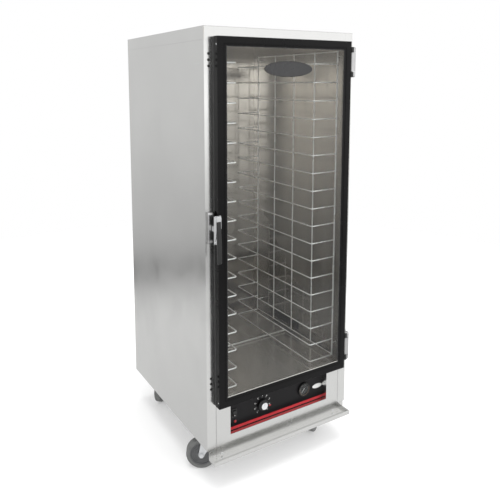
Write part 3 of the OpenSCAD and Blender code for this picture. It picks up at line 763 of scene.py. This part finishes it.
def add_area(name, place, target, size, power):
    """A soft lamp that doesn't show in reflections or through the glass."""
    data = bpy.data.lights.new(name, "AREA")
    data.shape = "RECTANGLE"
    data.size, data.size_y = size
    data.energy = power
    lamp = bpy.data.objects.new(name, data)
    bpy.context.scene.collection.objects.link(lamp)
    lamp.location = place
    aim = Vector(target) - Vector(place)
    lamp.rotation_euler = aim.to_track_quat("-Z", "Y").to_euler()
    lamp.visible_glossy = False
    lamp.visible_transmission = False


# The room as its reflections show it: brightness against the direction's height, from -1 to 1
ROOM = [(-0.60, 0.74), (-0.46, 0.82), (-0.41, 0.88), (-0.365, 0.84), (-0.345, 0.52), (-0.33, 0.22),
        (-0.31, 0.26), (-0.295, 0.54), (-0.26, 0.60), (-0.20, 0.65), (-0.12, 0.74), (0.0, 0.78),
        (0.06, 0.80), (0.3, 0.9), (0.9, 1.0)]
# How much brighter the side of the room in front of the cabinet is, from the floor up
FRONT_GAIN = [(-0.60, 1.25), (-0.36, 1.25), (-0.25, 1.1), (-0.12, 1.6), (0.0, 2.2), (0.06, 1.6), (0.12, 1.5),
              (0.9, 1.4)]
# A colour ramp holds nothing above 1, so the gains are stored divided by this
TOP_GAIN = 4.0


def add_world():
    """A pale room with a darker band just under eye level, and plain white where it is seen directly."""
    world = bpy.data.worlds.new("studio")
    bpy.context.scene.world = world
    world.use_nodes = True
    tree = world.node_tree
    background = tree.nodes["Background"]
    coords = tree.nodes.new("ShaderNodeTexCoord")
    split = tree.nodes.new("ShaderNodeSeparateXYZ")
    link(tree, coords, "Generated", split, "Vector")
    height = remap(tree, split.outputs["Z"], 0.0, 1.0, -1.0, 1.0)
    shade = ramp(tree, height.outputs["Result"], [((z + 1) / 2, (v, v, v)) for z, v in ROOM])
    gain = ramp(tree, height.outputs["Result"], [((z + 1) / 2, (v / TOP_GAIN,) * 3) for z, v in FRONT_GAIN])
    restored = tree.nodes.new("ShaderNodeVectorMath")
    restored.operation = "SCALE"
    restored.inputs["Scale"].default_value = TOP_GAIN
    link(tree, gain, "Color", restored, "Vector")
    brighter = tree.nodes.new("ShaderNodeVectorMath")
    brighter.operation = "MULTIPLY"
    link(tree, shade, "Color", brighter, 0)
    link(tree, restored, "Vector", brighter, 1)
    ahead = remap(tree, split.outputs["Y"], 1.0, 0.0, -0.5, 0.1)
    result = blend(tree, ahead.outputs["Result"], shade.outputs["Color"], brighter.outputs["Vector"],
                   "RGBA")
    tree.links.new(result, background.inputs["Color"])
    white = tree.nodes.new("ShaderNodeBackground")
    white.inputs["Color"].default_value = (1, 1, 1, 1)
    path = tree.nodes.new("ShaderNodeLightPath")
    bounces = tree.nodes.new("ShaderNodeMath")
    link(tree, path, "Diffuse Depth", bounces, 0)
    link(tree, path, "Glossy Depth", bounces, 1)
    mix = tree.nodes.new("ShaderNodeMixShader")
    tree.links.new(compare(tree, bounces.outputs["Value"], "LESS_THAN", 0.5), mix.inputs["Fac"])
    tree.links.new(background.outputs[0], mix.inputs[1])
    tree.links.new(white.outputs[0], mix.inputs[2])
    link(tree, mix, "Shader", tree.nodes["World Output"], "Surface")


FLOOR_HALF = 4
FADE_FROM = 2.7
FADE_TO = 3.9


def add_floor():
    """A pale floor that fades into the white background a few metres out, and isn't mirrored in the steel."""
    mat = surface("studio_floor", (0.78, 0.78, 0.78), 0.9, tint=0.004, tint_scale=1, Specular_IOR_Level=0.1)
    tree = mat.node_tree
    shader = tree.nodes["Principled BSDF"]
    shader.inputs["Emission Color"].default_value = (1, 1, 1, 1)
    shader.inputs["Emission Strength"].default_value = 0.22
    coords = tree.nodes.new("ShaderNodeTexCoord")
    reach = tree.nodes.new("ShaderNodeVectorMath")
    reach.operation = "LENGTH"
    link(tree, coords, "Object", reach, "Vector")
    fade = remap(tree, reach.outputs["Value"], 0.0, 1.0, FADE_FROM, FADE_TO)
    clear = tree.nodes.new("ShaderNodeBsdfTransparent")
    path = tree.nodes.new("ShaderNodeLightPath")
    hidden = tree.nodes.new("ShaderNodeMath")
    hidden.operation = "MAXIMUM"
    link(tree, fade, "Result", hidden, 0)
    link(tree, path, "Is Glossy Ray", hidden, 1)
    mix = tree.nodes.new("ShaderNodeMixShader")
    link(tree, hidden, "Value", mix, "Fac")
    tree.links.new(shader.outputs["BSDF"], mix.inputs[1])
    tree.links.new(clear.outputs["BSDF"], mix.inputs[2])
    output = next(n for n in tree.nodes if n.type == "OUTPUT_MATERIAL")
    link(tree, mix, "Shader", output, "Surface")
    mesh = bpy.data.meshes.new("floor")
    corners = [(x * FLOOR_HALF, y * FLOOR_HALF, 0) for x, y in ((-1, -1), (1, -1), (1, 1), (-1, 1))]
    mesh.from_pydata(corners, [], [(0, 1, 2, 3)])
    mesh.materials.append(mat)
    floor = bpy.data.objects.new("floor", mesh)
    bpy.context.scene.collection.objects.link(floor)


add_camera()
add_world()
add_floor()
add_area("softbox", (1.75, -3.4, 1.45), (0, FRONT, 1.25), (1.7, 1.3), 34)
add_area("overhead", (0, -0.3, 4.4), (0, -0.1, 0), (3.0, 3.0), 95)
bpy.context.scene.view_settings.view_transform = "Standard"
bpy.context.scene.view_settings.look = "None"
